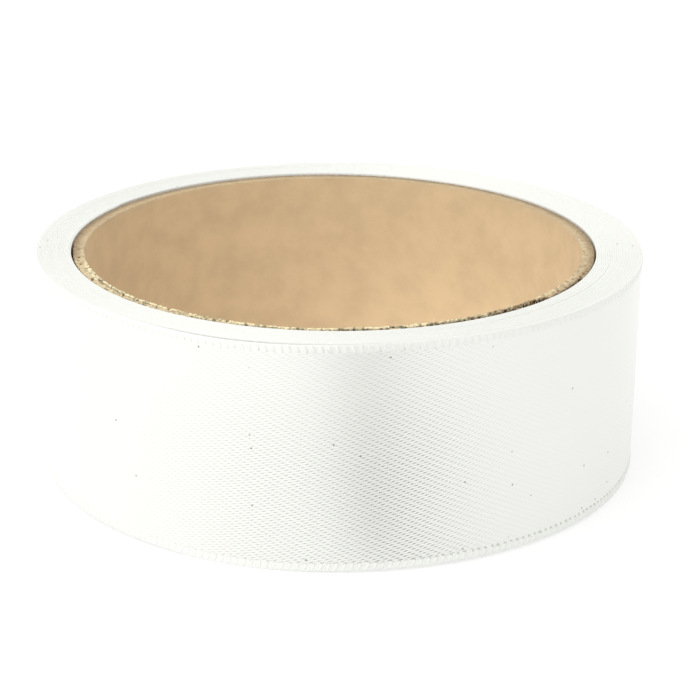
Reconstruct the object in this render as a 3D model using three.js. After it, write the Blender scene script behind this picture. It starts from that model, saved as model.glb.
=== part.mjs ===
// Roll of satin ribbon on a cardboard core, standing on one flat end.
// Millimetres, +Z up. The origin is at the middle of the roll's footprint, on the surface it stands on.
import * as THREE from "three";

const FULL_TURN = 2 * Math.PI;

// The wound ribbon
const ROLL_DIAMETER = 68.9;
const ROLL_HEIGHT = 25;
const TURN_PITCH = 0.18;
const CUT_END_DEGREES = 104;
const FIRST_TURN_DEGREES = 150;
const ROLL_SEGMENTS = 144;

// The cardboard tube it is wound on
const CORE_OUTER_DIAMETER = 59.2;
const CORE_WALL = 1.45;
const CORE_LENGTH = 24.8;
const CORE_SEGMENTS = 108;

// The first turn's clearance round the tube, and how far the tube sits off the roll's middle
const CORE_CLEARANCE = 0.35;
const CORE_OFFSET = new THREE.Vector2(-0.67, -0.7);

// Slight lobes of the wound outline: how many round the roll, how high, and where the first one is
const ROLL_LOBES = [
  { lobes: 2, height: 0.07, firstDegrees: 35 },
  { lobes: 3, height: 0.04, firstDegrees: 110 },
  { lobes: 7, height: 0.02, firstDegrees: 12 },
];

const satin = new THREE.MeshStandardMaterial({ color: 0xf3f2ea, roughness: 0.36, metalness: 0 });
const cardboard = new THREE.MeshStandardMaterial({ color: 0xc8a67a, roughness: 0.92, metalness: 0 });

// Share of a whole turn that the winding has made at an angle, counted from where it starts
function shareOfTurn(angle, startDegrees) {
  const turns = (angle - THREE.MathUtils.degToRad(startDegrees)) / FULL_TURN;
  return turns - Math.floor(turns);
}

// The outer turn climbs by one pitch a turn and drops where the ribbon is cut off, at the back
function rollRadius(angle) {
  const climb = TURN_PITCH * (shareOfTurn(angle, CUT_END_DEGREES) - 0.5);
  let radius = ROLL_DIAMETER / 2 + climb;
  for (const { lobes, height, firstDegrees } of ROLL_LOBES) {
    radius += height * Math.cos(lobes * (angle - THREE.MathUtils.degToRad(firstDegrees)));
  }
  return radius;
}

// The first turn starts on the tube and climbs onto its own end after one turn
function firstTurnRadius(angle) {
  return CORE_OUTER_DIAMETER / 2 + CORE_CLEARANCE + TURN_PITCH * shareOfTurn(angle, FIRST_TURN_DEGREES);
}

// A closed outline round a centre, whose radius is a function of the angle
function outline(radiusAt, centre, segments) {
  const points = [];
  for (let i = 0; i < segments; i += 1) {
    const angle = (FULL_TURN * i) / segments;
    const radius = radiusAt(angle);
    points.push(new THREE.Vector2(radius * Math.cos(angle), radius * Math.sin(angle)).add(centre));
  }
  return points;
}

// An upright band of one height between an outer and an inner outline
function band(outer, inner, height) {
  const shape = new THREE.Shape(outer);
  shape.holes.push(new THREE.Path(inner));
  return new THREE.ExtrudeGeometry(shape, { depth: height, bevelEnabled: false });
}

// How far the roll's own outline sits off the origin, so that its footprint can be centred
function footprintMiddle() {
  const points = outline(rollRadius, new THREE.Vector2(0, 0), ROLL_SEGMENTS);
  return new THREE.Box2().setFromPoints(points).getCenter(new THREE.Vector2());
}

function ribbonRoll(rollCentre, coreCentre) {
  const outer = outline(rollRadius, rollCentre, ROLL_SEGMENTS);
  const inner = outline(firstTurnRadius, coreCentre, CORE_SEGMENTS);
  const roll = new THREE.Mesh(band(outer, inner, ROLL_HEIGHT), satin);
  roll.name = "ribbon_roll";
  return roll;
}

function cardboardCore(coreCentre) {
  const outerRadius = CORE_OUTER_DIAMETER / 2;
  const outer = outline(() => outerRadius, coreCentre, CORE_SEGMENTS);
  const inner = outline(() => outerRadius - CORE_WALL, coreCentre, CORE_SEGMENTS);
  const core = new THREE.Mesh(band(outer, inner, CORE_LENGTH), cardboard);
  core.name = "cardboard_core";
  return core;
}

const rollCentre = footprintMiddle().negate();
const ribbonOnCore = new THREE.Group();
ribbonOnCore.add(ribbonRoll(rollCentre, CORE_OFFSET), cardboardCore(CORE_OFFSET));

export default ribbonOnCore;
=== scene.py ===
import math

import bpy
from mathutils import Matrix, Vector, noise


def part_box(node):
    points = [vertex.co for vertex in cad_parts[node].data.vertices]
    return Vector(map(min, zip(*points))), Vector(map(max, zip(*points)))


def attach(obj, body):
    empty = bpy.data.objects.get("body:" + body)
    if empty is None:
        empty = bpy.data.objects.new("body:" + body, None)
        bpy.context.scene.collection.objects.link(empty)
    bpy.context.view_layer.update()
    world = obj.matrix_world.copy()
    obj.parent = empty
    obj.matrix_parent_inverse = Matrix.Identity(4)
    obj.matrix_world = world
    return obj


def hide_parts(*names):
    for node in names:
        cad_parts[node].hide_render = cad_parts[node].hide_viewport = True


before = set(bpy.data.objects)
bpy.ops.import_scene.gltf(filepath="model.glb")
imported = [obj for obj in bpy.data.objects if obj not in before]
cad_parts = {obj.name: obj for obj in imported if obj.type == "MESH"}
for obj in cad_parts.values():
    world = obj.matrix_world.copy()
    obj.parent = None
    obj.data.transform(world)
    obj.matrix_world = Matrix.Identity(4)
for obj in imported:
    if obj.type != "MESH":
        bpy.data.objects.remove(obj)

bl_info = {
    "name": "Roll of Satin Ribbon",
    "version": (1, 0, 0),
    "blender": (4, 5, 0),
    "location": "View3D > Sidebar > Ribbon Roll",
    "description": "Winds a satin ribbon on a cardboard core and lays the stage for it",
    "category": "Add Mesh",
}

MM = 0.001
FULL_TURN = 2 * math.pi

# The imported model's sizes, which every piece is made from
ROLL_LOW, ROLL_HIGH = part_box("ribbon_roll")
CORE_LOW, CORE_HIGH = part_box("cardboard_core")
ROLL_RADIUS = (ROLL_HIGH.x - ROLL_LOW.x) / 2
ROLL_HEIGHT = ROLL_HIGH.z
CORE_RADIUS = (CORE_HIGH.x - CORE_LOW.x) / 2
CORE_LENGTH = CORE_HIGH.z
CORE_CENTRE = Vector(((CORE_LOW.x + CORE_HIGH.x) / 2, (CORE_LOW.y + CORE_HIGH.y) / 2, 0))

# Where the ribbon starts on the core and where it is cut off, in degrees round from +X
FIRST_TURN_DEGREES = 150
CUT_END_DEGREES = 104
WHOLE_TURNS = 25

# The ribbon's cross-section from one edge to its middle, with thickness as a share of the edge's
SECTION = (
    # in from the edge (mm), thickness
    (0.00, 0.84),
    (0.02, 0.98),
    (0.25, 1.00),
    (0.60, 0.96),
    (0.95, 0.72),
    (1.20, 0.82),
)

# The cut edge of the core, by the angle. The liner is pressed over from the bore as far as the lip, a share
# of the wall. Pale is how much of the board's light inside shows, ragged is in mm, and pitted is how much
# of the cut face has pits, which are dug in and darkened with painted shade.
CUT_EDGE = (
    # degrees, lip, pale, ragged, pitted
    (0, 0.05, 0.30, 0.04, 0.00),
    (15, 0.05, 0.12, 0.03, 0.00),
    (170, 0.05, 0.12, 0.03, 0.00),
    (190, 0.04, 0.35, 0.04, 0.05),
    (202, 0.04, 0.95, 0.06, 0.12),
    (219, 0.05, 1.00, 0.08, 0.12),
    (232, 0.05, 1.00, 0.10, 0.25),
    (240, 0.06, 1.00, 0.14, 0.38),
    (247, 0.10, 1.00, 0.14, 0.38),
    (251, 0.14, 0.95, 0.10, 0.15),
    (258, 0.26, 0.95, 0.10, 0.12),
    (266, 0.26, 0.95, 0.06, 0.06),
    (271, 0.18, 0.95, 0.06, 0.03),
    (273, 0.06, 0.95, 0.06, 0.03),
    (284, 0.10, 0.90, 0.08, 0.03),
    (291, 0.12, 0.85, 0.10, 0.20),
    (304, 0.08, 0.80, 0.08, 0.10),
    (309, 0.06, 0.70, 0.14, 0.25),
    (320, 0.04, 0.50, 0.14, 0.30),
    (336, 0.05, 0.35, 0.06, 0.10),
    (352, 0.05, 0.30, 0.05, 0.02),
    (360, 0.05, 0.30, 0.04, 0.00),
)

# Where plies have split or torn away from the cut edge: an arc in degrees and a part of the wall
TORN_PLIES = (
    # from, to (degrees), inner, outer (share of the wall), depth (mm)
    (182, 222, 0.95, 1.00, 0.30),
    (208, 218, 0.26, 0.38, 0.45),
    (219, 232, 0.30, 0.42, 0.40),
    (221, 240, 0.80, 1.00, 0.45),
    (239, 252, 0.70, 1.00, 0.45),
    (252, 254, 0.56, 1.00, 0.50),
    (255, 257, 0.58, 1.00, 0.50),
    (258, 260, 0.58, 1.00, 0.50),
    (261.5, 264.5, 0.52, 1.00, 0.60),
    (265.5, 271.5, 0.44, 1.00, 0.60),
    (271.5, 276, 0.16, 1.00, 0.70),
    (275.5, 281, 0.36, 1.00, 0.70),
    (281.9, 284.6, 0.20, 0.56, 0.60),
    (284, 288, 0.48, 1.00, 0.50),
    (289.6, 291.7, 0.30, 1.00, 0.70),
    (292.8, 297, 0.28, 1.00, 0.80),
    (296.6, 300, 0.22, 1.00, 0.80),
    (299.6, 306, 0.34, 1.00, 0.80),
    (304.5, 309, 0.10, 0.30, 0.80),
    (305, 312, 0.40, 1.00, 1.00),
    (308, 313, 0.20, 1.00, 1.20),
    (312, 318, 0.06, 1.00, 1.30),
    (317.5, 321, 0.50, 1.00, 0.80),
    (322, 336, 0.80, 1.00, 0.60),
)

# Painted shade: where round the roll the tied points are darker and deeper than elsewhere, or lighter and
# shallower, to follow how the light falls on the satin; in degrees to the right of its front
WEAVE_SHADE_SECTORS = (
    # middle, reach (degrees), how much more painted shade and relief at the tied points
    (52, 26, -0.32),
    (-55, 30, -0.30),
    (12, 11, 0.87),
    (-9, 15, 0.42),
)


class RibbonSizes(bpy.types.PropertyGroup):
    """Sizes and colour of the wound ribbon."""

    width: bpy.props.FloatProperty(
        name="Width",
        description="Width of the ribbon across its length",
        default=24.72 * MM,
        unit="LENGTH",
        precision=5,
    )
    loops_apart: bpy.props.FloatProperty(
        name="Edge Loops Apart",
        description="Distance between two turns of the weft at the ribbon's edge",
        default=0.8 * MM,
        unit="LENGTH",
        precision=5,
    )
    wander: bpy.props.FloatProperty(
        name="Wander",
        description="How far a turn strays up or down from its neighbours",
        default=0.05 * MM,
        unit="LENGTH",
        precision=5,
    )
    steps: bpy.props.IntProperty(
        name="Steps per Turn",
        description="Sections of the ribbon in one turn of the roll",
        default=160,
        min=24,
    )
    relief: bpy.props.FloatProperty(
        name="Weave Relief",
        description="Depth of the points where the weft ties the warp down",
        default=0.04 * MM,
        unit="LENGTH",
        precision=5,
    )
    tie_shade: bpy.props.FloatProperty(
        name="Tie Shade",
        description="How much darker the tied points are than the floats",
        default=0.5,
        min=0,
        max=1,
    )
    colour: bpy.props.FloatVectorProperty(
        name="Satin Colour",
        description="Colour of the satin's floats",
        subtype="COLOR",
        size=3,
        default=(0.80, 0.81, 0.777),
        min=0,
        max=1,
    )


class CoreSizes(bpy.types.PropertyGroup):
    """Sizes and colours of the cardboard core."""

    wall: bpy.props.FloatProperty(
        name="Wall",
        description="Thickness of the tube's wall",
        default=1.45 * MM,
        unit="LENGTH",
        precision=5,
    )
    fibres: bpy.props.IntProperty(
        name="Torn Fibres",
        description="Paper fibres that stand out of the cut edge",
        default=420,
        min=0,
    )
    board: bpy.props.FloatVectorProperty(
        name="Board Colour",
        description="Colour of the smooth kraft liner",
        subtype="COLOR",
        size=3,
        default=(0.511, 0.379, 0.228),
        min=0,
        max=1,
    )
    torn: bpy.props.FloatVectorProperty(
        name="Torn Colour",
        description="Colour of the board's cut and torn fibres",
        subtype="COLOR",
        size=3,
        default=(0.84, 0.74, 0.48),
        min=0,
        max=1,
    )


class StageSizes(bpy.types.PropertyGroup):
    """Camera and light of the stage."""

    distance: bpy.props.FloatProperty(
        name="Camera Distance",
        description="From the middle of the core to the camera",
        default=230 * MM,
        unit="LENGTH",
    )
    elevation: bpy.props.FloatProperty(
        name="Camera Elevation",
        description="Angle at which the camera looks down",
        default=math.radians(20.25),
        subtype="ANGLE",
    )
    room_light: bpy.props.FloatProperty(
        name="Room Light",
        description="Strength of the white room round the roll",
        default=0.90,
        min=0,
    )
    key_light: bpy.props.FloatProperty(
        name="Key Light",
        description="How much brighter the room is at the front left",
        default=1.16,
        min=0,
    )
    top_light: bpy.props.FloatProperty(
        name="Top Light",
        description="How much brighter the room is overhead",
        default=0.16,
        min=0,
    )
    back_light: bpy.props.FloatProperty(
        name="Back Light",
        description="How much brighter the room is behind the roll",
        default=0.19,
        min=0,
    )
    # Painted light: a glowing patch of floor inside the core's bore.
    bore_light: bpy.props.FloatProperty(
        name="Bore Light",
        description="Light that comes through the floor inside the core, most on the right",
        default=2.05,
        min=0,
    )
    floor_light: bpy.props.FloatProperty(
        name="Floor Light",
        description="Light that comes through the white floor",
        default=0.55,
        min=0,
    )
    # Darkness of a grey card seen only in reflections, which paints shade into the satin's shine; it also dims
    # the room low in front.
    card: bpy.props.FloatProperty(
        name="Card Darkness",
        description="How much the narrow card in front of the roll takes out of the satin's shine",
        default=0.60,
        min=0,
        max=1,
    )


class Value:
    """A socket of a node tree, so that arithmetic on sockets is written as a Python expression."""

    def __init__(self, nodes, socket):
        self.nodes = nodes
        self.socket = socket

    def __add__(self, other):
        return self.nodes.math("ADD", self, other)

    def __radd__(self, other):
        return self.nodes.math("ADD", other, self)

    def __sub__(self, other):
        return self.nodes.math("SUBTRACT", self, other)

    def __rsub__(self, other):
        return self.nodes.math("SUBTRACT", other, self)

    def __mul__(self, other):
        return self.nodes.math("MULTIPLY", self, other)

    def __rmul__(self, other):
        return self.nodes.math("MULTIPLY", other, self)

    def __truediv__(self, other):
        return self.nodes.math("DIVIDE", self, other)

    def __rtruediv__(self, other):
        return self.nodes.math("DIVIDE", other, self)

    def __neg__(self):
        return self.nodes.math("MULTIPLY", self, -1)

    def __abs__(self):
        return self.nodes.math("ABSOLUTE", self)


class Nodes:
    """Adds nodes to one tree."""

    def __init__(self, tree):
        self.tree = tree
        tree.nodes.clear()

    def add(self, kind, settings=None, inputs=None):
        """A new node of one type, with its settings made first and then its sockets' values or links."""
        node = self.tree.nodes.new(kind)
        for name, value in (settings or {}).items():
            setattr(node, name, value)
        for key, value in (inputs or {}).items():
            socket = self.find(node.inputs, key)
            if isinstance(value, Value):
                self.tree.links.new(value.socket, socket)
            else:
                socket.default_value = value
        return node

    def value(self, kind, settings=None, inputs=None, output=0):
        """One output of a new node, ready for arithmetic."""
        node = self.add(kind, settings, inputs)
        return Value(self, self.find(node.outputs, output))

    def math(self, operation, *operands):
        return self.value("ShaderNodeMath", {"operation": operation}, dict(enumerate(operands)))

    def vector(self, operation, *operands):
        output = "Value" if operation in ("LENGTH", "DOT_PRODUCT", "DISTANCE") else "Vector"
        inputs = dict(enumerate(operands))
        return self.value("ShaderNodeVectorMath", {"operation": operation}, inputs, output)

    def combine(self, x, y, z):
        return self.value("ShaderNodeCombineXYZ", inputs={0: x, 1: y, 2: z})

    def separate(self, vector):
        node = self.add("ShaderNodeSeparateXYZ", inputs={0: vector})
        return [Value(self, socket) for socket in node.outputs]

    def mix(self, share, low, high):
        """A number between low and high."""
        return low + (high - low) * share

    def colour(self, share, low, high):
        """A colour between two colours."""
        inputs = {"Factor_Float": share, "A_Color": low, "B_Color": high}
        return self.value("ShaderNodeMix", {"data_type": "RGBA"}, inputs, "Result_Color")

    def noise(self, place, scale, detail=2.0, roughness=0.5, dimensions="3D"):
        """Fractal noise from 0 to 1 about 0.5, at a vector, or at a number in one dimension."""
        key = "W" if dimensions == "1D" else "Vector"
        inputs = {key: place, "Scale": scale, "Detail": detail, "Roughness": roughness}
        return self.value("ShaderNodeTexNoise", {"noise_dimensions": dimensions}, inputs, "Fac")

    def smooth(self, value, low, high):
        """0 where value is below low, 1 above high, and a smooth step between."""
        inputs = {"Value": value, "From Min": low, "From Max": high}
        return self.value("ShaderNodeMapRange", {"interpolation_type": "SMOOTHSTEP"}, inputs, "Result")

    @staticmethod
    def find(sockets, key):
        """The socket with that index, identifier or name."""
        if isinstance(key, int):
            return sockets[key]
        for socket in sockets:
            if socket.identifier == key:
                return socket
        return sockets[key]


def geometry_tree(name, inputs):
    """A new Geometry Nodes tree with named inputs, each a type and a default."""
    tree = bpy.data.node_groups.new(name, "GeometryNodeTree")
    for label, (kind, default) in inputs.items():
        socket = tree.interface.new_socket(label, in_out="INPUT", socket_type=kind)
        if default is not None:
            socket.default_value = default
    tree.interface.new_socket("Geometry", in_out="OUTPUT", socket_type="NodeSocketGeometry")
    nodes = Nodes(tree)
    group = nodes.add("NodeGroupInput")
    given = {label: Value(nodes, group.outputs[label]) for label in inputs}
    return tree, nodes, given


def end_tree(nodes, geometry, finish):
    """Realizes what the tree made, gives it its material and hands it out."""
    real = nodes.value("GeometryNodeRealizeInstances", inputs={0: geometry})
    smooth = nodes.value("GeometryNodeSetShadeSmooth", inputs={"Geometry": real})
    finished = nodes.value("GeometryNodeSetMaterial", inputs={"Geometry": smooth, "Material": finish})
    nodes.add("NodeGroupOutput", inputs={"Geometry": finished})


def grown(name, tree, values):
    """A plain mesh object, made by running a tree once with these input values."""
    holder = bpy.data.objects.new(name + "_holder", bpy.data.meshes.new(name + "_holder"))
    bpy.context.scene.collection.objects.link(holder)
    modifier = holder.modifiers.new(name, "NODES")
    modifier.node_group = tree
    for item in tree.interface.items_tree:
        if item.in_out == "INPUT" and item.name in values:
            modifier[item.identifier] = values[item.name]
    depsgraph = bpy.context.evaluated_depsgraph_get()
    mesh = bpy.data.meshes.new_from_object(
        holder.evaluated_get(depsgraph), preserve_all_data_layers=True, depsgraph=depsgraph
    )
    holder.modifiers.remove(modifier)
    bpy.data.objects.remove(holder)
    mesh.name = name
    return placed(name, mesh)


def placed(name, mesh):
    """A new object at the origin that shows a mesh."""
    piece = bpy.data.objects.new(name, mesh)
    bpy.context.scene.collection.objects.link(piece)
    return piece


def numbers(*labels):
    """Inputs of a tree that are plain numbers."""
    return {label: ("NodeSocketFloat", 0.0) for label in labels}


def turn_inputs():
    """The inputs that place a point of the wound ribbon, the same in every tree that follows it."""
    return {
        **numbers("Turns", "First Angle", "Start Radius", "End Radius"),
        "Start Centre": ("NodeSocketVector", None),
        **numbers("Shelf", "Wander", "Loose Turn", "Loose Reach", "Loose Drop", "Loose Gap", "Seed"),
    }


def turn_values(sizes):
    """The sizes for turn_inputs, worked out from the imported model. One place on the last turn hangs loose."""
    turns = WHOLE_TURNS - (FIRST_TURN_DEGREES - CUT_END_DEGREES) / 360
    clearance = 0.10 * MM
    pitch = (ROLL_RADIUS - CORE_RADIUS - clearance) / WHOLE_TURNS
    loose_degrees = 252
    return {
        "Turns": turns,
        "First Angle": math.radians(FIRST_TURN_DEGREES),
        "Start Radius": CORE_RADIUS + clearance + pitch / 2,
        "End Radius": ROLL_RADIUS - pitch / 2,
        "Start Centre": CORE_CENTRE,
        "Shelf": ROLL_HEIGHT - sizes.width,
        "Wander": sizes.wander,
        "Loose Turn": turns - 1 + (loose_degrees - CUT_END_DEGREES) / 360,
        "Loose Reach": 0.05,
        "Loose Drop": 0.27 * MM,
        "Loose Gap": 0.13 * MM,
        "Seed": 7.0,
    }


def wound_place(nodes, given, turn):
    """Where the ribbon's middle line is after so many turns: its centre, radius, angle and lower edge."""
    share = turn / given["Turns"]
    angle = given["First Angle"] + turn * FULL_TURN
    centre_x, centre_y, _ = nodes.separate(given["Start Centre"])
    centre_x = centre_x * (1 - share)
    centre_y = centre_y * (1 - share)
    loose = (turn - given["Loose Turn"]) / given["Loose Reach"]
    loose = nodes.math("EXPONENT", -(loose * loose))
    radius = nodes.mix(share, given["Start Radius"], given["End Radius"]) + loose * given["Loose Gap"]
    stray = nodes.noise(turn + given["Seed"], 1.7, detail=3.0, dimensions="1D") - 0.5
    base = given["Shelf"] + stray * given["Wander"] * 2 - loose * given["Loose Drop"]
    base = nodes.math("MAXIMUM", base, 0.0)
    return centre_x, centre_y, radius, angle, base


def turn_pitch(nodes, given, cosine, sine):
    """How far apart the turns lie at an angle, which varies because the winding is off the core's middle."""
    start_x, start_y, _ = nodes.separate(given["Start Centre"])
    widening = given["End Radius"] - given["Start Radius"] - (start_x * cosine + start_y * sine)
    return widening / given["Turns"]


def ribbon_tree():
    """A flat tube of many sections, wound round and round: each section is the ribbon's cross-section."""
    inputs = {
        **turn_inputs(),
        "Width": ("NodeSocketFloat", 0.0),
        "Steps per Turn": ("NodeSocketInt", 160),
        "Edge Fill": ("NodeSocketFloat", 0.98),
        "Finish": ("NodeSocketMaterial", None),
    }
    tree, nodes, given = geometry_tree("wound_ribbon", inputs)
    rows = len(SECTION)
    points = 4 * rows
    tube = nodes.value(
        "GeometryNodeMeshCylinder",
        {"fill_type": "NGON"},
        {"Vertices": points, "Side Segments": given["Steps per Turn"] * given["Turns"]},
        "Mesh",
    )
    index = nodes.value("GeometryNodeInputIndex")
    section = nodes.math("FLOOR", index / points + 0.5 / points)
    point = index - section * points
    turn = section / given["Steps per Turn"]
    turn = nodes.math("MINIMUM", turn, given["Turns"])
    centre_x, centre_y, radius, angle, base = wound_place(nodes, given, turn)
    cosine = nodes.math("COSINE", angle)
    sine = nodes.math("SINE", angle)

    pitch = turn_pitch(nodes, given, cosine, sine)

    # Up one side of the cross-section and down the other
    up = (2 * rows - 0.5) - abs(2 * rows - 0.5 - point)
    from_edge = (rows - 0.5) - abs(rows - 0.5 - up)
    across = picked(nodes, from_edge, [row[0] * MM for row in SECTION])
    thickness = picked(nodes, from_edge, [row[1] for row in SECTION])
    upper = nodes.math("GREATER_THAN", up, rows - 0.5)
    across = nodes.mix(upper, across, given["Width"] - across)
    outward = 1 - 2 * nodes.math("GREATER_THAN", point, 2 * rows - 0.5)
    reach = radius + outward * thickness * pitch * given["Edge Fill"] / 2
    place = nodes.combine(centre_x + reach * cosine, centre_y + reach * sine, base + across)
    wound = nodes.value("GeometryNodeSetPosition", inputs={"Geometry": tube, "Position": place})

    # A map along and across the ribbon, in millimetres
    growth = (given["End Radius"] - given["Start Radius"]) / given["Turns"]
    length = (given["Start Radius"] + growth * turn / 2) * turn * FULL_TURN
    on_ribbon = nodes.combine(length / MM, across / MM, 0.0)
    settings = {"domain": "POINT", "data_type": "FLOAT_VECTOR"}
    on_points = nodes.value("GeometryNodeFieldOnDomain", settings, {0: on_ribbon})
    mapped = nodes.value(
        "GeometryNodeStoreNamedAttribute",
        {"domain": "CORNER", "data_type": "FLOAT2"},
        {"Geometry": wound, "Name": "ribbon_map", "Value": on_points},
    )
    end_tree(nodes, mapped, given["Finish"])
    return tree


def picked(nodes, index, values):
    """The value whose place in the list is the index."""
    node = nodes.add("GeometryNodeIndexSwitch", {"data_type": "FLOAT"})
    while len(node.index_switch_items) < len(values):
        node.index_switch_items.new()
    nodes.tree.links.new(index.socket, node.inputs[0])
    for number, value in enumerate(values):
        node.inputs[number + 1].default_value = value
    return Value(nodes, node.outputs[0])


def instanced(nodes, spots, shape, turned, scale):
    """One copy of a shape at every spot."""
    inputs = {"Points": spots, "Instance": shape, "Rotation": turned, "Scale": scale}
    return nodes.value("GeometryNodeInstanceOnPoints", inputs=inputs)


def loops_tree():
    """Slanted weft loops along both edges of the outer turn, one at each turn of the weft."""
    inputs = {
        **turn_inputs(),
        **numbers("Width", "Apart"),
        "Count": ("NodeSocketInt", 10),
        **numbers("From Edge", "Loop Length", "Loop Width", "Loop Height", "Lean"),
        "Finish": ("NodeSocketMaterial", None),
    }
    tree, nodes, given = geometry_tree("edge_loops", inputs)
    index = nodes.value("GeometryNodeInputIndex")
    row = nodes.math("MODULO", index, 2.0)
    number = nodes.math("FLOOR", index / 2 + 0.25)

    # The turn at which the ribbon is this long, from its whole length back
    growth = (given["End Radius"] - given["Start Radius"]) / given["Turns"]
    whole = (given["Start Radius"] + growth * given["Turns"] / 2) * given["Turns"] * FULL_TURN
    length = whole - (number + 0.5) * given["Apart"]
    start = given["Start Radius"]
    root = nodes.math("SQRT", start * start + growth * length * (2 / FULL_TURN))
    turn = (root - start) / growth
    centre_x, centre_y, radius, angle, base = wound_place(nodes, given, turn)
    cosine = nodes.math("COSINE", angle)
    sine = nodes.math("SINE", angle)
    sunk = 0.44
    face = radius + turn_pitch(nodes, given, cosine, sine) * sunk
    height = nodes.mix(row, given["From Edge"], given["Width"] - given["From Edge"])
    place = nodes.combine(centre_x + face * cosine, centre_y + face * sine, base + height)
    line = nodes.value("GeometryNodeMeshLine", inputs={"Count": given["Count"] * 2}, output="Mesh")
    spots = nodes.value("GeometryNodeSetPosition", inputs={"Geometry": line, "Position": place})

    seed = nodes.value("FunctionNodeRandomValue", {"data_type": "FLOAT"}, {"Seed": 3}, "Value_001")
    size = 0.85 + seed * 0.3
    loop = nodes.value("GeometryNodeMeshUVSphere", inputs={"Segments": 10, "Rings": 6}, output="Mesh")
    shaped = nodes.value(
        "GeometryNodeTransform",
        inputs={
            "Geometry": loop,
            "Scale": nodes.combine(given["Loop Height"], given["Loop Width"], given["Loop Length"]),
        },
    )
    mirrored = 1 - 2 * row
    spin = nodes.combine(given["Lean"] * -mirrored + (seed - 0.5) * 0.2, 0.0, angle)
    end_tree(nodes, instanced(nodes, spots, shaped, spin, nodes.combine(1.0, size, size)), given["Finish"])
    return tree


def fibre_tree():
    """Short bent paper fibres that stand out of the core's cut edge, most where it is torn."""
    inputs = {
        "Centre": ("NodeSocketVector", None),
        **numbers("Inner Radius", "Wall", "Edge Height"),
        "Count": ("NodeSocketInt", 10),
        **numbers("Longest", "Thickness", "Torn From", "Torn To", "Torn Share"),
        "Seed": ("NodeSocketInt", 0),
        "Finish": ("NodeSocketMaterial", None),
    }
    tree, nodes, given = geometry_tree("torn_fibres", inputs)

    def chance(low, high, salt):
        inputs = {"Min_001": low, "Max_001": high, "Seed": given["Seed"] * 10 + salt}
        return nodes.value("FunctionNodeRandomValue", {"data_type": "FLOAT"}, inputs, "Value_001")

    crowded = nodes.math("LESS_THAN", chance(0.0, 1.0, 1), given["Torn Share"])
    anywhere = chance(0.0, FULL_TURN, 2)
    torn = nodes.mix(chance(0.0, 1.0, 3), given["Torn From"], given["Torn To"])
    angle = nodes.mix(crowded, anywhere, torn)
    across = chance(0.05, 0.95, 4)
    radius = given["Inner Radius"] + given["Wall"] * across
    centre_x, centre_y, _ = nodes.separate(given["Centre"])
    place = nodes.combine(
        centre_x + radius * nodes.math("COSINE", angle),
        centre_y + radius * nodes.math("SINE", angle),
        given["Edge Height"] - chance(0.0, 0.35 * MM, 5),
    )
    line = nodes.value("GeometryNodeMeshLine", inputs={"Count": given["Count"]}, output="Mesh")
    spots = nodes.value("GeometryNodeSetPosition", inputs={"Geometry": line, "Position": place})

    fibre_line = nodes.value("GeometryNodeCurveQuadraticBezier", inputs={
        "Resolution": 6, "Start": (0, 0, 0), "Middle": (0.1, 0, 0.6), "End": (0.6, 0.1, 0.9),
    })
    along = nodes.value("GeometryNodeSplineParameter", output="Factor")
    taper = nodes.value("GeometryNodeSetCurveRadius", inputs={"Curve": fibre_line, "Radius": 1.1 - along})
    slimness = given["Thickness"] / given["Longest"]
    ring = nodes.value("GeometryNodeCurvePrimitiveCircle", inputs={"Resolution": 4, "Radius": slimness})
    tube = nodes.value(
        "GeometryNodeCurveToMesh", inputs={"Curve": taper, "Profile Curve": ring, "Fill Caps": True}
    )
    lean = nodes.combine(chance(-1.1, 1.1, 6), chance(-1.1, 1.1, 7), chance(0.0, FULL_TURN, 8))
    size = chance(0.3, 1.0, 9) * given["Longest"]
    fibres = instanced(nodes, spots, tube, lean, nodes.combine(size, size, size))
    pale = nodes.value(
        "GeometryNodeStoreNamedAttribute",
        {"domain": "INSTANCE", "data_type": "FLOAT"},
        {"Geometry": fibres, "Name": "cut", "Value": chance(0.2, 1.0, 12)},
    )
    end_tree(nodes, pale, given["Finish"])
    return tree


def new_material(name):
    """A new material, and its nodes to add to."""
    material = bpy.data.materials.new(name)
    material.use_nodes = True
    return material, Nodes(material.node_tree)


def finish_surface(nodes, inputs):
    """Ends a material in one surface shader with these inputs."""
    surface = nodes.value("ShaderNodeBsdfPrincipled", inputs=inputs)
    nodes.add("ShaderNodeOutputMaterial", inputs={"Surface": surface})


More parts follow.
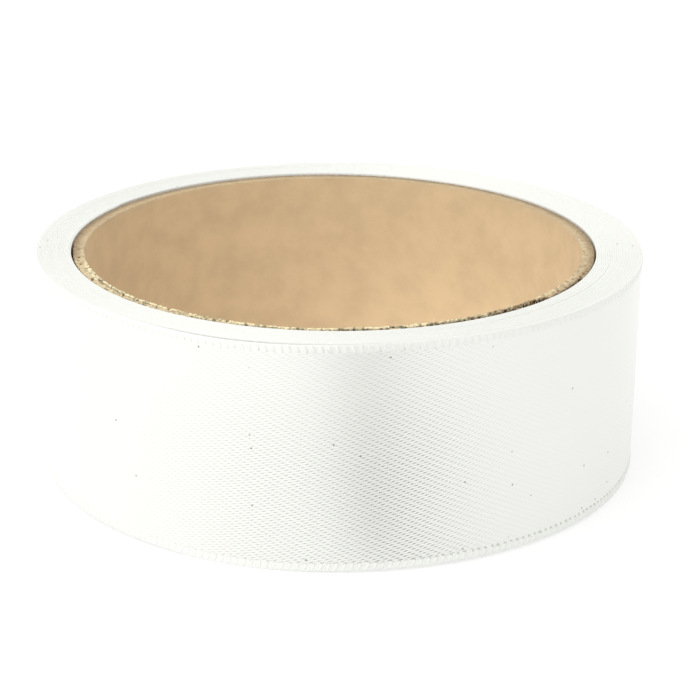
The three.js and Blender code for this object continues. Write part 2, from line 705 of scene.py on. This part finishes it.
def satin_material(sizes):
    """Woven satin: floats along the ribbon tied down at a slanting lattice of points, and ribbed edges."""
    material, nodes = new_material("white_satin")
    on_ribbon = nodes.value("ShaderNodeUVMap", {"uv_map": "ribbon_map"})
    along, across, _ = nodes.separate(on_ribbon)

    # Weft threads lie across the ribbon, a little slanted. Each ties the warp down at points a step further
    # on than the thread before. Distances are in mm.
    weft_apart = 0.403
    ties_apart = 0.574
    slant = 0.0726
    step = 0.351
    thread = (along - across * slant) / weft_apart
    tie = across / ties_apart
    falling = (thread * step + tie) * FULL_TURN
    rising = (thread * (step - 1) + tie) * FULL_TURN
    ties = nodes.math("COSINE", falling) * 0.32 + nodes.math("COSINE", rising) * 0.28
    ties = ties + nodes.math("COSINE", falling + rising) * 0.95
    ties = ties + nodes.math("COSINE", falling - rising) * 0.08

    # Faint streaks where a few warp threads lie tighter, and cloudy unevenness of the weave
    streak_place = nodes.combine(along * 0.02, across * 3.0, 0.0)
    streaks = nodes.noise(streak_place, 1.0, detail=3.0) - 0.5
    cloud = nodes.noise(nodes.combine(along * 0.15, across * 0.4, 0.0), 1.0, detail=2.0) - 0.5

    # The ribbed edge band, with a slanted pit between every two loops of the weft
    width = sizes.width / MM
    from_edge = nodes.math("MINIMUM", across, width - across)
    upper = nodes.math("GREATER_THAN", across, width / 2)
    body = nodes.smooth(from_edge, 0.70, 1.00)
    row = 0.90 - upper * 0.25
    loops_apart = sizes.loops_apart / MM
    uneven = nodes.noise(along, 1.3, detail=1.0, dimensions="1D") - 0.5
    pit_phase = (along - (from_edge - row) * (upper * 2 - 1) * 0.40) / loops_apart + uneven * 0.5
    pit_away = abs(nodes.math("PINGPONG", pit_phase, 0.5)) * loops_apart
    pit_width = 0.24 - upper * 0.08 + uneven * 0.2
    in_row = 1 - nodes.smooth(abs(from_edge - row), 0.05, 0.24)
    pits = (1 - nodes.smooth(pit_away, 0.04, pit_width)) * in_row
    ribs = nodes.math("COSINE", pit_phase * FULL_TURN)

    # Painted shade: the tied points are darker, and their bump deeper, in sectors round the roll and most low
    # down at its front, where the satin's shine is dim
    x, y, z = nodes.separate(nodes.value("ShaderNodeTexCoord", output="Object"))
    weave_depth_and_shade = 0.35
    for middle, reach, more in WEAVE_SHADE_SECTORS:
        weave_depth_and_shade = weave_depth_and_shade + in_front(nodes, x, y, middle, reach) * more
    weave_depth_and_shade = weave_depth_and_shade * (1 - nodes.smooth(z, 9 * MM, ROLL_HEIGHT) * 0.65)
    ties = ties * weave_depth_and_shade * body
    # Painted shade in the pits: they are darkened, and dug deeper, mostly in sectors at the front of the roll,
    # right of the front along the lower edge and straight ahead along the upper.
    lower_pit_shade = in_front(nodes, x, y, 45, 45) * 0.5
    upper_pit_shade = in_front(nodes, x, y, 0, 22) * 0.45
    pit_shade_and_depth = nodes.mix(upper, lower_pit_shade, upper_pit_shade)

    low = tuple(v * 0.35 for v in sizes.colour) + (1,)
    high = tuple(min(1.0, v * 1.03) for v in sizes.colour) + (1,)
    # Painted shade as well: the mean darkening of the tied points follows the same sectors.
    shade = (ties + weave_depth_and_shade * body * 0.05) * sizes.tie_shade - streaks * body * 0.03 - cloud * 0.02
    base = nodes.colour(shade, high, low)

    # Few specks of lint
    speck = nodes.add(
        "ShaderNodeTexVoronoi",
        {"voronoi_dimensions": "2D"},
        {"Vector": nodes.combine(along, across, 0.0), "Scale": 0.36},
    )
    chosen, _, _ = nodes.separate(Value(nodes, speck.outputs["Color"]))
    away = Value(nodes, speck.outputs["Distance"])
    specks = nodes.smooth(away, 0.050, 0.025) * nodes.smooth(chosen, 0.89, 0.92)
    lint = (0.16, 0.14, 0.11, 1)
    base = nodes.colour(specks * 0.8, base, lint)
    # The dark pit colour is painted shade in the pits.
    pitted = tuple(v * share for v, share in zip(sizes.colour, (0.42, 0.38, 0.32))) + (1,)
    base = nodes.colour(pits * (pit_shade_and_depth + 0.08), base, pitted)

    height = streaks * body * 0.15 - ties * 0.2 + ribs * (1 - body) * 0.25 - pits * (0.3 + pit_shade_and_depth * 2)
    bump = nodes.value(
        "ShaderNodeBump",
        inputs={"Strength": 1.0, "Distance": sizes.relief, "Height": height},
    )
    # Roughness stays over 0.274, because the denoiser takes anything glossier for a mirror and leaves marks
    finish_surface(nodes, {
        "Base Color": base,
        "Roughness": 0.295 + (1 - body) * 0.15 + cloud * 0.03,
        "Metallic": 0.3,
        "Normal": bump,
        "IOR": 1.6,
        "Specular IOR Level": 1.0,
        "Anisotropic": 0.7,
        "Anisotropic Rotation": 0.25,
    })
    return material


def board_material(sizes):
    """Brown kraft board, whose smooth liner turns to paler, rougher fibres where the core was cut."""
    material, nodes = new_material("kraft_board")
    place = nodes.value("ShaderNodeTexCoord", output="Object")
    cut = nodes.value("ShaderNodeAttribute", {"attribute_name": "cut"}, output="Fac")
    painted_shade = nodes.value("ShaderNodeAttribute", {"attribute_name": "painted_shade"}, output="Fac")

    mottle = nodes.noise(place, 260.0, detail=4.0, roughness=0.55)
    fine = nodes.noise(place, 2600.0, detail=3.0, roughness=0.6)
    stretched = nodes.vector("MULTIPLY", place, (900.0, 900.0, 5200.0))
    grain = nodes.noise(stretched, 1.0, detail=2.0)
    darker = tuple(v * 0.93 for v in sizes.board) + (1,)
    lighter = tuple(min(1.0, v * 1.07) for v in sizes.board) + (1,)
    liner = nodes.colour(nodes.smooth(mottle + (fine - 0.5) * 0.2, 0.25, 0.75), darker, lighter)
    torn_low = tuple(v * 0.45 for v in sizes.torn) + (1,)
    torn_high = tuple(min(1.0, v * 1.18) for v in sizes.torn) + (1,)
    torn = nodes.colour(nodes.smooth(fine, 0.38, 0.56), torn_low, torn_high)
    base = nodes.colour(cut, liner, torn)
    # Painted shade: the board turns near black or red-brown in torn recesses, in pits and towards the outer
    # side of the cut face.
    near_black = (0.02, 0.012, 0.006, 1)
    red_brown = (0.20, 0.10, 0.04, 1)
    shadow = nodes.colour(nodes.smooth(fine, 0.46, 0.62), near_black, red_brown)
    base = nodes.colour(painted_shade, base, shadow)

    height = mottle * 0.3 + fine * 0.5 + grain * 0.4 + cut * fine * 2.0
    bump = nodes.value("ShaderNodeBump", inputs={"Strength": 0.5, "Distance": 0.03 * MM, "Height": height})
    finish_surface(nodes, {
        "Base Color": base,
        "Roughness": 0.78 + cut * 0.15 + (fine - 0.5) * 0.1,
        "Normal": bump,
        "Specular IOR Level": 0.3,
    })
    return material


def made_once(name, maker, sizes):
    """The material of that name, made the first time that it is asked for."""
    return bpy.data.materials.get(name) or maker(sizes)


def edge_row(degrees):
    """The core's cut-edge values at an angle, between the rows of CUT_EDGE."""
    for low, high in zip(CUT_EDGE, CUT_EDGE[1:]):
        if low[0] <= degrees <= high[0]:
            share = (degrees - low[0]) / (high[0] - low[0])
            return [a + (b - a) * share for a, b in zip(low[1:], high[1:])]
    raise ValueError(f"no row of CUT_EDGE holds {degrees} degrees")


def stepped(value, low, high):
    """0 below low, 1 above high and a smooth step between."""
    share = min(1.0, max(0.0, (value - low) / (high - low)))
    return share * share * (3 - 2 * share)


def torn_depth(degrees, share, warp):
    """How far the plies are torn away at a place on the cut edge, in mm; warp shifts the tear's borders."""
    soft_degrees = 0.6
    soft_share = 0.04
    deepest = 0.0
    for start, end, inner, outer, depth in TORN_PLIES:
        for turned in (degrees, degrees + 360):
            if start - 1 < turned < end + 1:
                along = min(
                    stepped(turned, start - soft_degrees, start + soft_degrees),
                    1 - stepped(turned, end - soft_degrees, end + soft_degrees),
                )
                across = stepped(share + warp, inner - soft_share, inner + soft_share)
                if outer < 1:
                    outside = stepped(share - warp * 0.5, outer - soft_share, outer + soft_share)
                    across = min(across, 1 - outside)
                deepest = max(deepest, depth * along * across)
    return deepest


def core_section(angle, wall):
    """The outline of the tube's wall at one angle: radius, height, how pale each point is and how much painted
    shade it has.
    """
    inner = CORE_RADIUS - wall
    degrees = math.degrees(angle) % 360
    lip, pale, ragged, pitted = edge_row(degrees)
    around = Vector((math.cos(angle), math.sin(angle), 0))
    section = []
    for height_mm in (0.15, 1, 5, 10, 15, 19, 22, 23.6):
        swell = noise.noise(around * 2.2 + Vector((0, 0, height_mm * 0.08))) * 0.05 * MM
        section.append((inner + swell, height_mm * MM, 0.0, 0.0))
    cut_points = 20
    proud_mm = 0.12
    for number in range(cut_points):
        share = number / (cut_points - 1)
        radius = inner + wall * share
        over = stepped(share, lip - 0.05, lip + 0.05)
        rounding = (1 - min(1.0, share / lip)) ** 2 * (0.12 + lip * 0.6)
        rough = noise.fractal(around * 60 + Vector((0, 0, share * 4)), 0.8, 2.1, 4) * ragged
        warp = noise.noise(around * 45 + Vector((3, 1, share))) * ragged * 0.9
        pit = noise.noise(around * (radius / MM * 2.1) + Vector((0, 0, 7)))
        pit = stepped(pit + pitted, 0.42, 0.58) * over * stepped(pitted, 0.0, 0.05)
        torn = torn_depth(degrees, share, warp)
        drop = rounding + torn * (1 + rough * 2) + pit * 0.3 - rough * over
        light = pale * over * (1 - 0.55 * stepped(share, lip + 0.15, lip + 0.5))
        # Painted shade, darker towards the outer side of the cut face where it is not pale.
        painted_rim_shade = (0.10 + 0.42 * stepped(share, 0.3, 0.95)) * over * (1 - stepped(pale, 0.3, 0.6))
        # Painted shade: torn recesses and pits are darkened, along with the outer part of the cut face.
        painted_shade = min(1.0, torn * 7 + pit + painted_rim_shade)
        section.append((radius, CORE_LENGTH - max(-proud_mm, drop) * MM, light, painted_shade))
    for height_mm in (22, 12, 2):
        section.append((CORE_RADIUS, height_mm * MM, 0.0, 0.0))
    for share, lift_mm in ((1.0, 0.12), (0.5, 0.0), (0.0, 0.12)):
        section.append((inner + wall * share, lift_mm * MM, 0.6, 0.0))
    return section


def tube_mesh(name, section_at, steps):
    """A closed ring of sections, each given by its angle, with cut and painted shade stored on its points."""
    points = []
    cuts = []
    painted_shades = []
    for step in range(steps):
        angle = FULL_TURN * step / steps
        for radius, height, cut, painted_shade in section_at(angle):
            points.append(Vector((radius * math.cos(angle), radius * math.sin(angle), height)) + CORE_CENTRE)
            cuts.append(cut)
            painted_shades.append(painted_shade)
    size = len(points) // steps
    faces = []
    for step in range(steps):
        here = step * size
        there = ((step + 1) % steps) * size
        for number in range(size):
            following = (number + 1) % size
            faces.append((here + number, here + following, there + following, there + number))
    mesh = bpy.data.meshes.new(name)
    mesh.from_pydata(points, [], faces)
    for label, values in (("cut", cuts), ("painted_shade", painted_shades)):
        attribute = mesh.attributes.new(label, "FLOAT", "POINT")
        attribute.data.foreach_set("value", values)
    mesh.shade_smooth()
    return mesh


def add_bake_map(piece, steps, width):
    """A second map, for baked pictures, with most of its room for the outward face of the outermost turn."""
    points = 4 * len(SECTION)
    side = points // 2
    in_from_edge = [row[0] for row in SECTION]
    least_mm = 0.12
    gaps = [max(high - low, least_mm) for low, high in zip(in_from_edge, in_from_edge[1:])]
    gaps = gaps + [width / MM - 2 * in_from_edge[-1]] + gaps[::-1]
    climb = [sum(gaps[:number]) / sum(gaps) for number in range(side)]
    top_faces = (side - 2, side - 1, side)
    bottom_faces = (0, points - 1, points - 2)
    mesh = piece.data
    sections = len(mesh.vertices) // points
    outer_start = sections - 1 - steps

    # Shares of the map: three strips for the outer turn, a square for each flat end of the roll and a block
    # for the faces that lie between two turns
    strips = 3
    strip = math.ceil(steps / strips)
    strip_height = 0.235
    strip_step = 0.243
    strip_margin = 0.005
    squares_low = 0.734
    square = 0.26
    end_starts = (0.005, 0.27)
    hidden_start = 0.54
    hidden_width = 0.41
    cap_centre = 0.992
    cap_radius = 0.004
    per_metre = square / 2 / ROLL_RADIUS * 0.98

    layer = mesh.uv_layers.new(name="OFBake")
    for face in mesh.polygons:
        places = [vertex % points for vertex in face.vertices]
        first = min(vertex // points for vertex in face.vertices)
        low = min(places)
        if low == 0 and max(places) == points - 1:
            low = points - 1
        outermost = first >= outer_start and low < side - 1
        for loop, vertex in zip(face.loop_indices, face.vertices):
            section, number = divmod(vertex, points)
            if len(places) > 4:
                turned = FULL_TURN * number / points
                across = cap_centre + cap_radius * math.cos(turned)
                up = cap_centre + cap_radius * math.sin(turned)
            elif outermost:
                strip_number = min(strips - 1, (first - outer_start) // strip)
                along = (section - outer_start - strip_number * strip) / strip
                across = strip_margin + (1 - 2 * strip_margin) * along
                up = 0.004 + strip_step * strip_number + strip_height * climb[number]
            elif low in top_faces or low in bottom_faces:
                x, y, _ = mesh.vertices[vertex].co
                across = end_starts[low in bottom_faces] + square / 2 + x * per_metre
                up = squares_low + square / 2 + y * per_metre
            else:
                across = hidden_start + hidden_width * section / sections
                up = squares_low + square * number / points
            layer.data[loop].uv = (across, up)


class WindRibbon(bpy.types.Operator):
    """Wind one length of satin ribbon round the core"""

    bl_idname = "ribbon_roll.wind_ribbon"
    bl_label = "Wind Ribbon"

    def execute(self, context):
        sizes = context.scene.ribbon_sizes
        values = {
            **turn_values(sizes),
            "Width": sizes.width,
            "Steps per Turn": sizes.steps,
            "Edge Fill": 0.98,
            "Finish": made_once("white_satin", satin_material, sizes),
        }
        ribbon = grown("satin_ribbon", ribbon_tree(), values)
        add_bake_map(ribbon, sizes.steps, sizes.width)
        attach(ribbon, "root")
        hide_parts("ribbon_roll")
        return {"FINISHED"}


class AddEdgeLoops(bpy.types.Operator):
    """Set the weft loops along both edges of the outer turn"""

    bl_idname = "ribbon_roll.add_edge_loops"
    bl_label = "Add Edge Loops"

    def execute(self, context):
        sizes = context.scene.ribbon_sizes
        around = FULL_TURN * ROLL_RADIUS
        values = {
            **turn_values(sizes),
            "Width": sizes.width,
            "Apart": sizes.loops_apart,
            "Count": int(around / sizes.loops_apart),
            "From Edge": 0.46 * MM,
            "Loop Length": 0.42 * MM,
            "Loop Width": 0.17 * MM,
            "Loop Height": 0.05 * MM,
            "Lean": math.radians(24),
            "Finish": made_once("white_satin", satin_material, sizes),
        }
        loops = grown("edge_loops", loops_tree(), values)
        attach(loops, "root")
        return {"FINISHED"}


class FormCore(bpy.types.Operator):
    """Form the cardboard tube with its rough cut edge"""

    bl_idname = "ribbon_roll.form_core"
    bl_label = "Form Core"

    def execute(self, context):
        sizes = context.scene.core_sizes
        steps_round = 2160

        def section_at(angle):
            return core_section(angle, sizes.wall)

        tube = placed("core_tube", tube_mesh("core_tube", section_at, steps_round))
        tube.data.materials.append(made_once("kraft_board", board_material, sizes))
        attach(tube, "root")
        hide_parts("cardboard_core")
        return {"FINISHED"}


class FrayCore(bpy.types.Operator):
    """Stand torn paper fibres along the core's cut edge"""

    bl_idname = "ribbon_roll.fray_core"
    bl_label = "Fray Core"

    def execute(self, context):
        sizes = context.scene.core_sizes
        values = {
            "Centre": CORE_CENTRE,
            "Inner Radius": CORE_RADIUS - sizes.wall,
            "Wall": sizes.wall,
            "Edge Height": CORE_LENGTH,
            "Count": sizes.fibres,
            "Longest": 0.45 * MM,
            "Thickness": 0.02 * MM,
            "Torn From": math.radians(230),
            "Torn To": math.radians(325),
            "Torn Share": 0.6,
            "Seed": 11,
            "Finish": made_once("kraft_board", board_material, sizes),
        }
        fibres = grown("torn_fibres", fibre_tree(), values)
        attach(fibres, "root")
        return {"FINISHED"}


class LayStage(bpy.types.Operator):
    """Lay a white floor, soft light and the camera"""

    bl_idname = "ribbon_roll.lay_stage"
    bl_label = "Lay Stage"

    def execute(self, context):
        stage = context.scene.stage_sizes
        floor_reach = 2.5
        card_reach = 0.3
        card_height = 0.2 * MM
        lay_sheet("floor", floor_reach, 0, floor_material(stage))
        card = lay_sheet("card", card_reach, card_height, card_material(stage))
        # The card is seen only in glossy reflections: painted shade in the satin's shine.
        for rays in ("camera", "diffuse", "shadow", "transmission", "volume_scatter"):
            setattr(card, "visible_" + rays, False)
        light_room(context.scene, stage)
        aim_camera(context.scene, stage)
        context.scene.view_settings.view_transform = "Standard"
        return {"FINISHED"}


def lay_sheet(name, reach, height, material):
    """A flat square of the stage, with its material."""
    mesh = bpy.data.meshes.new(name)
    ends = ((-reach, -reach), (reach, -reach), (reach, reach), (-reach, reach))
    corners = [(x, y, height) for x, y in ends]
    mesh.from_pydata(corners, [], [(0, 1, 2, 3)])
    sheet = placed(name, mesh)
    sheet.data.materials.append(material)
    return sheet


def floor_material(stage):
    """White board with some light behind it, and a painted glow under the core's bore, most on the right, that
    lights the inside of the core.
    """
    material, nodes = new_material("white_floor")
    material.cycles.emission_sampling = "NONE"
    place = nodes.value("ShaderNodeTexCoord", output="Object")
    cloud = nodes.noise(place, 3.0)
    x, _, _ = nodes.separate(place)
    away = nodes.vector("DISTANCE", place, tuple(CORE_CENTRE))
    # Painted light: the floor glows more inside the bore, rising to the right.
    inside = nodes.smooth(away, CORE_RADIUS - 1 * MM, CORE_RADIUS - 2 * MM)
    rightward = nodes.smooth(x, -CORE_RADIUS * 0.9, CORE_RADIUS)
    glow = stage.floor_light + inside * rightward * stage.bore_light
    finish_surface(nodes, {
        "Base Color": nodes.colour(cloud, (0.44, 0.44, 0.44, 1), (0.46, 0.46, 0.46, 1)),
        "Roughness": 0.9,
        "Specular IOR Level": 0.1,
        "Emission Color": nodes.combine(glow, glow, glow),
        "Emission Strength": 1.0,
    })
    return material


def in_front(nodes, x, y, middle, reach):
    """1 in a soft-edged sector about the origin, with angles in degrees to the right of the front, -Y."""
    azimuth = nodes.math("ARCTAN2", x, -y)
    away = (azimuth - math.radians(middle)) / math.radians(reach)
    return nodes.math("EXPONENT", -(away * away))


def card_material(stage):
    """A grey sheet, seen only in reflections, that paints shade into the satin's shine in front of the roll;
    clear everywhere else.
    """
    material, nodes = new_material("reflection_shade_card")
    x, y, _ = nodes.separate(nodes.value("ShaderNodeTexCoord", output="Object"))
    sector = in_front(nodes, x - 3 * MM, y + 26 * MM, 9, 18)
    ahead = nodes.smooth(-y, ROLL_RADIUS + 1 * MM, ROLL_RADIUS + 8 * MM)
    finish_surface(nodes, {
        "Base Color": nodes.colour(sector, (0.30, 0.30, 0.28, 1), (0.22, 0.22, 0.21, 1)),
        "Roughness": 1.0,
        "Specular IOR Level": 0.0,
        "Alpha": sector * ahead * stage.card,
    })
    return material


def light_room(scene, stage):
    """A white room, brightest at the front left and overhead, dim low in front and duller on the right."""
    world = bpy.data.worlds.new("white_room")
    world.use_nodes = True
    scene.world = world
    nodes = Nodes(world.node_tree)
    direction = nodes.value("ShaderNodeTexCoord", output="Generated")
    x, y, z = nodes.separate(direction)
    azimuth = math.radians(-52)
    height = math.radians(36)
    key_narrowness = 4.5
    key = (math.sin(azimuth) * math.cos(height), -math.cos(azimuth) * math.cos(height), math.sin(height))
    toward_key = nodes.vector("DOT_PRODUCT", direction, key)
    key_light = nodes.math("EXPONENT", (toward_key - 1) * key_narrowness) * stage.key_light
    top_light = nodes.smooth(z, 0.3, 1.0) * stage.top_light
    back_light = nodes.smooth(y, 0.2, 0.9) * nodes.smooth(z, 0.9, 0.4) * stage.back_light
    dim = in_front(nodes, x, y, 8, 17) * nodes.smooth(z, 0.30, 0.02) * stage.card
    right_loss = nodes.smooth(x, 0.1, 0.9) * 0.15
    brightness = (stage.room_light + key_light + top_light + back_light) * (1 - dim) * (1 - right_loss)
    background = nodes.value(
        "ShaderNodeBackground",
        inputs={"Color": (1.0, 1.0, 0.985, 1), "Strength": brightness},
    )
    nodes.add("ShaderNodeOutputWorld", inputs={"Surface": background})


def aim_camera(scene, stage):
    """A long lens that looks down on the roll, with the roll where the photograph has it."""
    picture_px = 700
    focal_px = 1977
    sensor_mm = 36
    # Where the middle of the core is in the picture, from its left and from its top
    core_px = (333, 345)
    roll = math.radians(0.35)
    elevation = stage.elevation
    back = Vector((0, -math.cos(elevation), math.sin(elevation)))
    side = Vector((1, 0, 0))
    rise = back.cross(side)
    right = side * math.cos(roll) + rise * math.sin(roll)
    up = back.cross(right)
    middle = CORE_CENTRE + Vector((0, 0, ROLL_HEIGHT / 2))
    place = middle + back * stage.distance
    per_px = stage.distance / focal_px
    aim = middle + right * (picture_px / 2 - core_px[0]) * per_px
    aim = aim + up * (core_px[1] - picture_px / 2) * per_px
    back = (place - aim).normalized()
    right = up.cross(back).normalized()
    up = back.cross(right)
    data = bpy.data.cameras.new("camera")
    data.lens = focal_px / picture_px * sensor_mm
    data.sensor_width = sensor_mm
    data.clip_start = 0.01
    camera = bpy.data.objects.new("camera", data)
    scene.collection.objects.link(camera)
    turned = Matrix((right, up, back)).transposed().to_4x4()
    camera.matrix_world = Matrix.Translation(place) @ turned
    scene.camera = camera


class DeclareCloth(bpy.types.Operator):
    """Work out the length the ribbon was cut to"""

    bl_idname = "ribbon_roll.declare_cloth"
    bl_label = "Declare Cloth"

    def execute(self, context):
        sizes = context.scene.ribbon_sizes
        given = turn_values(sizes)
        length = FULL_TURN * given["Turns"] * (given["Start Radius"] + given["End Radius"]) / 2
        return {"FINISHED"}


class RibbonPanel(bpy.types.Panel):
    """Sizes of the roll and the steps that make it"""

    bl_idname = "VIEW3D_PT_ribbon_roll"
    bl_label = "Ribbon Roll"
    bl_space_type = "VIEW_3D"
    bl_region_type = "UI"
    bl_category = "Ribbon Roll"

    def draw(self, context):
        for group in ("ribbon_sizes", "core_sizes", "stage_sizes"):
            box = self.layout.box()
            sizes = getattr(context.scene, group)
            for name in sizes.__annotations__:
                box.prop(sizes, name)
        for step in STEPS:
            self.layout.operator(step.bl_idname)


STEPS = (WindRibbon, AddEdgeLoops, FormCore, FrayCore, DeclareCloth, LayStage)
GROUPS = {"ribbon_sizes": RibbonSizes, "core_sizes": CoreSizes, "stage_sizes": StageSizes}


def register():
    for group in GROUPS.values():
        bpy.utils.register_class(group)
    for name, group in GROUPS.items():
        setattr(bpy.types.Scene, name, bpy.props.PointerProperty(type=group))
    for kind in (*STEPS, RibbonPanel):
        bpy.utils.register_class(kind)


def unregister():
    for kind in reversed((*STEPS, RibbonPanel)):
        bpy.utils.unregister_class(kind)
    for name in GROUPS:
        delattr(bpy.types.Scene, name)
    for group in reversed(GROUPS.values()):
        bpy.utils.unregister_class(group)


def main():
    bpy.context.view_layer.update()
    register()
    bpy.ops.ribbon_roll.wind_ribbon()
    bpy.ops.ribbon_roll.add_edge_loops()
    bpy.ops.ribbon_roll.form_core()
    bpy.ops.ribbon_roll.fray_core()
    bpy.ops.ribbon_roll.declare_cloth()
    bpy.ops.ribbon_roll.lay_stage()


if __name__ == "__main__":
    main()
